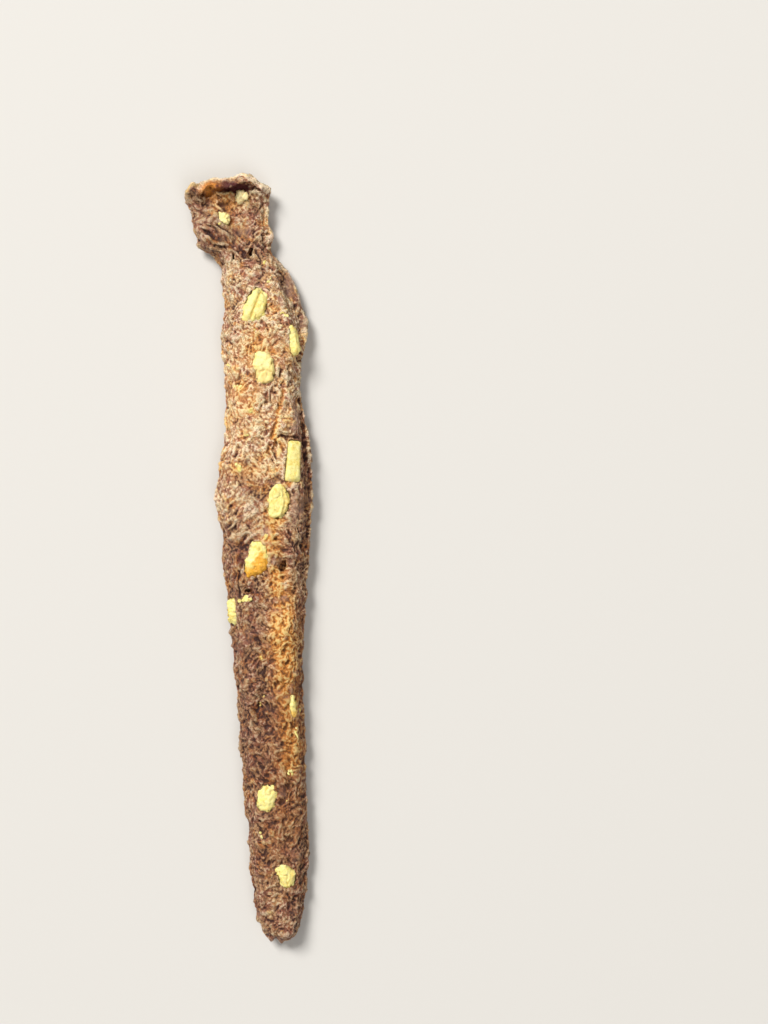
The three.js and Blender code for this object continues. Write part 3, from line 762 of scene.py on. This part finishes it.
class STICK_OT_meat(bpy.types.Operator):
    """Makes the torn, grainy meat over the CAD solid"""

    bl_idname = "stick.meat"
    bl_label = "Meat"

    def execute(self, context):
        s = context.scene.stick_meat
        piece = remeshed("dried_meat", merged_copy("meat"), s.voxel)
        data = piece.data
        kept = self.sculpt(data, s)
        sculpted = KDTree(len(data.vertices))
        for i, vertex in enumerate(data.vertices):
            sculpted.insert(vertex.co, i)
        sculpted.balance()
        thin = piece.modifiers.new("Thin", "DECIMATE")
        thin.ratio = min(1.0, s.triangles / sum(len(p.vertices) - 2 for p in data.polygons))
        data = finished(piece)
        places = corners_of(data)
        places[:, 2] = np.maximum(places[:, 2], 0)
        nearest = np.array([sculpted.find(place)[1] for place in places])
        for name, values in kept.items():
            keep_value(data, name, values[nearest])
        place_corners(data, places * MM)
        smooth_shaded(data)
        data.materials.append(meat_finish(s))
        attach(piece, BODY)
        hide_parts("meat")
        return {"FINISHED"}

    def sculpt(self, data, s):
        """Moves the corners of the mesh, and returns what the finish needs to know at each of them."""
        places, normals = corners_of(data), directions_of(data)
        u, v, z = places[:, 0] + PLAN_ACROSS, places[:, 1] + PLAN_ALONG, places[:, 2]
        up = normals[:, 2]
        waver = layered(places, 2.5, salt=98, layers=3)
        under = ease(0.5 * waver - up, 0.35, 0.75) * ease(1.2 * waver - z, -2.6, -1.2)
        smooth = (1 - under) * ease(patches(u, v, SMOOTH_PATCHES) + 1.4 * waver, 0.3, 1.0)
        side = ease(0.45 - np.abs(up), 0, 0.4) * (1 - under)
        pocket, lip = self.cheese_nearby(places, normals)
        bent = places + GRAIN_BEND * np.stack([lumps(places, 1.8, salt=n) for n in (11, 12, 13)], 1)
        strands = strand_relief(bent, s)
        grain = layered(bent, 1.5, salt=50, layers=4, keep=0.7)
        _, inside, value = cells(bent, s.crumb_size, salt=55)
        crumb = (value - 0.4) * ease(inside, 0, 0.25)
        torn = lumps(places, 3.2, salt=60)
        pits = ease(0.6 * lumps(places, 1.7, salt=61) + 0.4 * lumps(places, 0.8, salt=62), 0.45, 0.7)
        pits *= (1 - 0.7 * ease(v, *HEAD_BEGINS)) * (1 - smooth)
        cuts = cut_depth(u, v) * ease(up, -0.1, 0.4) * (0.75 + 0.5 * lumps(places, 1.3, salt=65))
        lengthways = layered(turned(places, -6), (0.6, 6, 0.6), salt=66, layers=2)
        rise = s.strand_height * (strands - 0.5) + s.grain_height * grain + s.crumb_height * crumb
        rise += TORN_HEIGHT * torn - PIT_DEPTH * pits
        rise *= (1 - SIDE_CALM * side) * (1 - SMOOTH_CALM * smooth)
        folded = self.fold(rise, bent + 0.5 * lumps(places, 2.6, salt=64)[:, None], u, v)
        rise += s.fold_height * folded + SIDE_GROOVES * side * lengthways
        rise = rise * (1 - under) + self.skin_relief(bent) * under
        rise = rise * (1 - pocket) - cuts
        rim = ease(z, *RIM_HEIGHTS) * ease(v, *RIM_BEGINS)
        moved = places + normals * (rise * (1 - RIM_CALM * rim))[:, None] + lip
        self.tear_ends(moved, places, v, rim)
        moved[:, 2] = within_height(moved[:, 2])
        place_corners(data, moved)
        # Painted light and shade: the finish colours raised grain, strands, crumbs, folds, the rim's crest
        # and the flap's edge lighter as painted highlights, and pits and cuts darker as painted shade.
        relief_shading = 0.55 + 0.6 * grain + 0.4 * (strands - 0.5) + 0.25 * crumb - 0.35 * pits - 0.5 * cuts
        relief_shading += side * (0.4 * lengthways - 0.1) + 0.35 * folded - 0.15 * smooth
        relief_shading += np.maximum(stroke(u, v, RIM_LINE, 0.5), 0.7 * stroke(u, v, FLAP_EDGE, 0.4))
        tone_and_shading = tone_of(u, v) + 0.3 * layered(places, 4.5, salt=97, layers=2)
        wire_mark, scorch = self.rack_marks(places, u, v, waver)
        ember, rim_shadow_and_red_spots = self.rim_marks(places, u, v, z)
        return {
            "relief_shading": relief_shading,
            "cavity_shade": self.hollow_share(data),
            "skin": under + 0.45 * smooth,
            "wire_mark": under * wire_mark,
            "scorch": under * scorch,
            # Painted shade makes the sides darker; the underside's skin is lighter.
            "tone_and_shading": np.maximum(DARKEST, tone_and_shading * (1 - 0.25 * side)) + 0.6 * under,
            "amber": self.amber_share(places, u, v),
            "ember": ember,
            "rim_shadow_and_red_spots": rim_shadow_and_red_spots,
        }

    def fold(self, rise, points, u, v):
        """Calms the grain where the meat is folded, and returns how high the folds stand there."""
        folded = np.zeros(len(rise))
        for x, y, wide, long, degrees, height in FOLDS:
            share = np.clip(1.4 * spot(u, v, *at_pixel(x, y), wide, long), 0, 1)
            creased = layered(turned(points, degrees), (1.6, 5.5, 3), salt=67, layers=2, keep=0.5)
            rise *= 1 - FOLD_CALM * share * height
            folded += height * share * np.maximum(1 - 3.6 * np.abs(creased), -1)
        return folded

    def skin_relief(self, bent):
        """How high the wrinkled and dented skin of the underside stands, in millimetres."""
        wrinkle = 1 - ease(np.abs(layered(bent, (2.6, 1.5, 2), salt=70, layers=3)), 0, 0.1)
        dent = np.maximum(0, 0.3 + layered(bent, 3.5, salt=72))
        return -WRINKLE_DEPTH * wrinkle - DENT_DEPTH * dent - SKIN_DEPTH

    def tear_ends(self, moved, places, v, rim):
        """Moves the corners so that the head's rim and the end of the tail are ragged."""
        moved[:, 0] += rim * RIM_RAGGED * layered(places, 1.2, salt=80, layers=3, keep=0.8)
        moved[:, 1] += rim * RIM_RAGGED * layered(places, 1.2, salt=83, layers=3, keep=0.8)
        moved[:, 2] -= rim * RIM_DROP * (0.6 + layered(places, 1.5, salt=86, layers=3, keep=0.8))
        moved[:, 1] -= ease(6 - v, 0, 5) * TAIL_RAGGED * lumps(places, (1.1, 9, 1.4), salt=89)

    def rack_marks(self, places, u, v, waver):
        """Where the rack's wires left marks, and where these are scorched."""
        along_rack = v - RACK_SLANT * u - RACK_FIRST
        nearest_wire = np.round(along_rack / RACK_PITCH) * RACK_PITCH
        from_wire = np.abs(along_rack - nearest_wire + 0.4 * lumps(places, 3, salt=75))
        long_mark = stroke(u, v, MIDDLE_LINE, 0.6) * (1 + 1.6 * waver)
        mark = 0.9 * ease(0.45 - from_wire + 1.3 * waver, 0, 0.5) + 0.7 * ease(long_mark, 0.3, 0.8)
        scorch = ease(lumps(places, 2.6, salt=99), -0.6, 0.1) * np.exp(-((from_wire / SCORCH_WIDTH) ** 2))
        return mark, scorch

    def rim_marks(self, places, u, v, z):
        """Where the rim glows, where painted shadow colours the inner side of the rim dark red, and where
        some small spots of the meat are dark red.
        """
        ember = patches(u, v, EMBER_PATCHES) * ease(z, 3, 4.5)
        ember *= ease(layered(places, 1.0, salt=90, layers=3), -0.7, 0)
        # Painted shadow: the inner side of the curled rim, just below its crest.
        inner = ease(stroke(u, v, RIM_INNER, 0.8) * (1 - stroke(u, v, RIM_LINE, 0.5)), 0.15, 0.55)
        inner *= ease(layered(places, 1.2, salt=96, layers=3), -0.9, -0.5)
        return ember, inner + patches(u, v, RED_PATCHES)

    def hollow_share(self, data):
        """How deep each corner lies in a crevice, from 0 on a ridge to 1, which the finish uses to paint
        shade in the crevices.
        """
        places, normals = corners_of(data), directions_of(data)
        ends = np.empty(len(data.edges) * 2, np.int64)
        data.edges.foreach_get("vertices", ends)
        a, b = ends.reshape(-1, 2).T
        count = np.bincount(ends, minlength=len(places))
        smooth = places
        for _ in range(HOLLOW_ROUNDS):
            total = np.stack([np.bincount(a, smooth[b, n], len(places)) for n in range(3)], 1)
            total += np.stack([np.bincount(b, smooth[a, n], len(places)) for n in range(3)], 1)
            smooth = total / count[:, None]
        depth = np.sum((smooth - places) * normals, 1)
        return 0.5 + depth / HOLLOW_DEPTH

    def cheese_nearby(self, places, normals):
        """1 in the pockets under the cheese and 0 away from them, and the moves that draw ragged lips of
        meat over the edges of the cheese."""
        mesh = merged_copy(*CHEESE_NODES)
        tree = BVHTree.FromBMesh(mesh)
        mesh.free()
        share, lip = np.zeros(len(places)), np.zeros((len(places), 3))
        reach = LIP_REACH * np.clip(0.2 + 1.3 * layered(places, 1.1, salt=95, layers=2), 0, 1)
        for i, (place, normal) in enumerate(zip(places, normals)):
            near, _, _, away = tree.find_nearest(Vector(place), CHEESE_REACH)
            if near is not None:
                toward = (near - Vector(place)) / max(away, 1e-6)
                facing = toward.dot(Vector(normal))
                share[i] = min(1.0, max(0.0, (facing - 0.1) / 0.5)) * min(1.0, max(0.0, (0.9 - away) / 0.4))
                lip[i] = toward * (reach[i] * (1 - share[i]) * min(1.0, (CHEESE_REACH - away) / 0.5))
        return share, lip

    def amber_share(self, places, u, v):
        """Where melted cheese has soaked into the meat."""
        share = strokes(u, v, AMBER_LINES) + patches(u, v, AMBER_PATCHES)
        broken = lumps(places, 1.5, salt=91) + 0.5 * lumps(places, 0.7, salt=92)
        return share * ease(broken, -1.1, -0.1)


class STICK_OT_cheese(bpy.types.Operator):
    """Makes the lumps of cheese over their CAD solids"""

    bl_idname = "stick.cheese"
    bl_label = "Cheese"

    def execute(self, context):
        s = context.scene.stick_cheese
        finish = cheese_finish(s)
        for node in CHEESE_NODES:
            self.lump(node, s, finish)
        return {"FINISHED"}

    def lump(self, node, s, finish):
        piece = remeshed(node.replace("cheese", "cheese_lump"), merged_copy(node), s.voxel)
        data = piece.data
        places, normals = corners_of(data), directions_of(data)
        u, v = places[:, 0] + PLAN_ACROSS, places[:, 1] + PLAN_ALONG
        on_top = places[:, 2].min() > 1
        crack = self.crack_share(node, places, u, v)
        rise = self.lump_relief(node, s, places, normals) - s.fissure * crack
        faced = np.sum(normals[normals[:, 2] > 0.6], 0) if on_top else np.array((0, 0, 1))
        faced = faced / np.linalg.norm(faced)
        height = places @ faced
        cut_off = np.maximum(0, height - height.max() + FLATTENED.get(node, 0))
        moved = places + normals * rise[:, None] - faced * cut_off[:, None]
        moved[:, 2] = within_height(moved[:, 2])
        place_corners(data, moved * MM)
        keep_value(data, "browned", self.browned_share(node, places, u, v))
        # Painted shade on the steep sides of a lump that lies on the meat, and along its cracks.
        side_shade_and_flecks = ease(0.45 - normals[:, 2], 0, 0.6) if on_top else np.zeros(len(places))
        keep_value(data, "side_shade_and_flecks", np.maximum(side_shade_and_flecks, 0.5 * crack))
        keep_value(data, "fresh", np.full(len(places), FRESH.get(node, 0)))
        smooth_shaded(data)
        data.materials.append(finish)
        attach(piece, BODY)
        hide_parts(node)

    def crack_share(self, node, places, u, v):
        """1 along the cracks and the crease of a lump, and 0 away from them."""
        crack = 1 - ease(np.abs(layered(places, (3, 4.5, 3), salt=8, layers=3)), 0, 0.05)
        crack *= min(1, RAGGED.get(node, 1))
        if node in CREASES:
            crack = np.maximum(crack, stroke(u, v, CREASES[node], 0.24))
        return crack

    def lump_relief(self, node, s, places, normals):
        """How far each corner of a lump stands out from the solid, in millimetres."""
        ragged = RAGGED.get(node, 1)
        outward = ease(1 - np.abs(normals[:, 2]), 0.1, 0.6)
        fine = places / min(1.0, 0.25 * np.ptp(places[:, 0]))
        facets = cells(fine + 0.3 * lumps(fine, 0.7, salt=17)[:, None], (1.0, 1.3, 1.0), salt=18)[2] - 0.5
        uneven = facets + layered(fine, 0.9, salt=5, layers=3, keep=0.8)
        outline = 0.8 * layered(fine, (1.6, 1.6, 3), salt=12, layers=3, keep=0.7) + 0.5 * facets
        rise = s.lumpiness * uneven * (0.4 + 0.6 * ragged)
        rise += s.growth * min(1, 0.6 + ragged) + s.raggedness * ragged * outward * outline
        return rise

    def browned_share(self, node, places, u, v):
        """How brown a lump is, from 0 on one side of its border to its full amount on the other."""
        x, y, way, amount = BROWNED.get(node, (0, 0, 0, 0))
        right = PICTURE_ACROSS + u / MM_IN_A_PIXEL - x
        down = PICTURE_ALONG - v / MM_IN_A_PIXEL - y
        past = right * math.sin(math.radians(way)) + down * math.cos(math.radians(way))
        return amount * ease(past + 14 * layered(places, 1.8, salt=7, layers=3), -3, 4)


class STICK_OT_crumbs(bpy.types.Operator):
    """Makes the small crumbs and specks of cheese that lie on the meat"""

    bl_idname = "stick.crumbs"
    bl_label = "Crumbs"

    def execute(self, context):
        s = context.scene.stick_cheese
        meat = BVHTree.FromObject(bpy.data.objects["dried_meat"], context.evaluated_depsgraph_get())
        draw = random.Random(CRUMB_SEED)
        mesh = bmesh.new()
        for across, along, wide, long in self.wanted(s.specks, draw):
            above = Vector((across - PLAN_ACROSS, along - PLAN_ALONG, HIGH_ABOVE)) * MM
            ground, up, _, _ = meat.ray_cast(above, Vector((0, 0, -1)))
            if ground is not None and up.z > LEVEL_ENOUGH:
                self.crumb(mesh, ground / MM, up, wide, long, draw.uniform(-0.6, 0.6))
        piece = new_object("cheese_crumbs", made_mesh(mesh, "cheese_crumbs"))
        data = piece.data
        places = corners_of(data)
        places[:, 2] = within_height(places[:, 2])
        place_corners(data, places * MM)
        keep_value(data, "browned", 0.5 * ease(lumps(places, 6, salt=15), 0.1, 0.6))
        # On the crumbs these are their own darker flecks.
        keep_value(data, "side_shade_and_flecks", 0.6 * ease(lumps(places, 0.6, salt=16), 0.2, 0.7))
        keep_value(data, "fresh", np.zeros(len(places)))
        smooth_shaded(data)
        data.materials.append(bpy.data.materials["dried cheese"])
        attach(piece, BODY)
        return {"FINISHED"}

    def wanted(self, specks, draw):
        """The place in the plan, the width and the length of each crumb, and then of each speck."""
        crumbs = []
        for x, y, wide, long in CRUMBS:
            across, along = at_pixel(x, y)
            wide, long = wide * MM_IN_A_PIXEL, long * MM_IN_A_PIXEL
            share = LARGE_CRUMB_SHARE if wide * long > LARGE_CRUMB else SMALL_CRUMB_SHARE
            crumbs.append((across, along, share * wide, share * long))
            for _ in range(BITS_BY_A_CRUMB):
                size = draw.uniform(0.3, 0.45) * min(wide, long) + 0.1
                off_across, off_along = draw.gauss(0, 0.3 * wide), draw.gauss(0, 0.3 * long)
                crumbs.append((across + off_across, along + off_along, size, size * draw.uniform(0.8, 1.5)))
        for _ in range(specks):
            size = draw.uniform(0.25, 0.6)
            across, along = draw.uniform(*SPECKS_ACROSS), draw.uniform(*SPECKS_ALONG)
            crumbs.append((across, along, size, size * draw.uniform(0.7, 1.6)))
        return crumbs

    def crumb(self, mesh, ground, up, wide, long, turn):
        """Adds one angular crumb that sits a little down in the meat."""
        made = bmesh.ops.create_icosphere(mesh, subdivisions=3, radius=0.5)["verts"]
        places = np.array([vertex.co for vertex in made]) + ground
        facets = cells(places, 0.5, salt=19)[2] - 0.5
        swell = 1 + 0.7 * layered(places, 0.6, salt=14, layers=3) + 0.5 * facets
        for vertex, much in zip(made, swell):
            vertex.co *= much
        bmesh.ops.scale(mesh, vec=(wide, long, 0.55 * min(wide, long)), verts=made)
        lean = Vector((0, 0, 1)).rotation_difference(up).to_matrix()
        bmesh.ops.rotate(mesh, cent=(0, 0, 0), matrix=lean @ Matrix.Rotation(turn, 3, "Z"), verts=made)
        bmesh.ops.translate(mesh, vec=ground + up * 0.05 * min(wide, long), verts=made)


class STICK_OT_stage(bpy.types.Operator):
    """Makes the floor, the lights and the camera"""

    bl_idname = "stick.stage"
    bl_label = "Stage"

    def execute(self, context):
        s = context.scene.stick_stage
        mesh = bmesh.new()
        bmesh.ops.create_grid(mesh, x_segments=1, y_segments=1, size=FLOOR_SIZE)
        floor = new_object("floor", made_mesh(mesh, "floor"))
        f = Finish("pale floor")
        floor.data.materials.append(f.shade(Base_Color=tuple(s.floor), Roughness=0.9))
        world = bpy.data.worlds.new("studio")
        world.use_nodes = True
        world.node_tree.nodes["Background"].inputs["Color"].default_value = (1, 1, 1, 1)
        world.node_tree.nodes["Background"].inputs["Strength"].default_value = s.sky
        context.scene.world = world
        self.light("key", s.key, **KEY_LIGHT)
        self.light("fill", s.key * FILL_SHARE, **FILL_LIGHT)
        camera = bpy.data.cameras.new("camera")
        camera.lens = s.lens
        camera.sensor_width = SENSOR_SIZE
        camera.clip_start, camera.clip_end = CAMERA_RANGE
        shot = new_object("camera", camera)
        height = s.lens / SENSOR_SIZE * PICTURE_HEIGHT * MM_IN_A_PIXEL + FOCUS_HEIGHT
        across, along = CAMERA_ACROSS - PLAN_ACROSS, CAMERA_ALONG - PLAN_ALONG
        shot.location = Vector((across, along, height)) * MM
        context.scene.camera = shot
        context.scene.view_settings.view_transform = "Standard"
        return {"FINISHED"}

    def light(self, name, power, place, size):
        lamp = bpy.data.lights.new(name, "AREA")
        lamp.size = size
        lamp.energy = power
        source = new_object(name, lamp)
        source.location = place
        source.rotation_euler = (-Vector(place)).to_track_quat("-Z", "Y").to_euler()


class STICK_PT_panel(bpy.types.Panel):
    """Sizes and colours of the stick"""

    bl_label = "Venison Cheese Stick"
    bl_idname = "STICK_PT_panel"
    bl_space_type = "VIEW_3D"
    bl_region_type = "UI"
    bl_category = "Stick"

    def draw(self, context):
        layout = self.layout
        for group, operators in PANEL_GROUPS:
            box = layout.box()
            settings = getattr(context.scene, group)
            for name in settings.__annotations__:
                box.prop(settings, name)
            for operator in operators:
                box.operator(operator)


PANEL_GROUPS = [
    ("stick_meat", ["stick.meat"]),
    ("stick_cheese", ["stick.cheese", "stick.crumbs"]),
    ("stick_stage", ["stick.stage"]),
]
GROUPS = {"stick_meat": MeatSettings, "stick_cheese": CheeseSettings, "stick_stage": StageSettings}
CLASSES = [
    *GROUPS.values(),
    STICK_OT_meat,
    STICK_OT_cheese,
    STICK_OT_crumbs,
    STICK_OT_stage,
    STICK_PT_panel,
]


def register():
    for cls in CLASSES:
        bpy.utils.register_class(cls)
    for name, group in GROUPS.items():
        setattr(bpy.types.Scene, name, PointerProperty(type=group))


def unregister():
    for name in GROUPS:
        delattr(bpy.types.Scene, name)
    for cls in reversed(CLASSES):
        bpy.utils.unregister_class(cls)


def main():
    register()
    bpy.ops.stick.meat()
    bpy.ops.stick.cheese()
    bpy.ops.stick.crumbs()
    bpy.ops.stick.stage()
    bpy.context.view_layer.update()


if __name__ == "__main__":
    main()
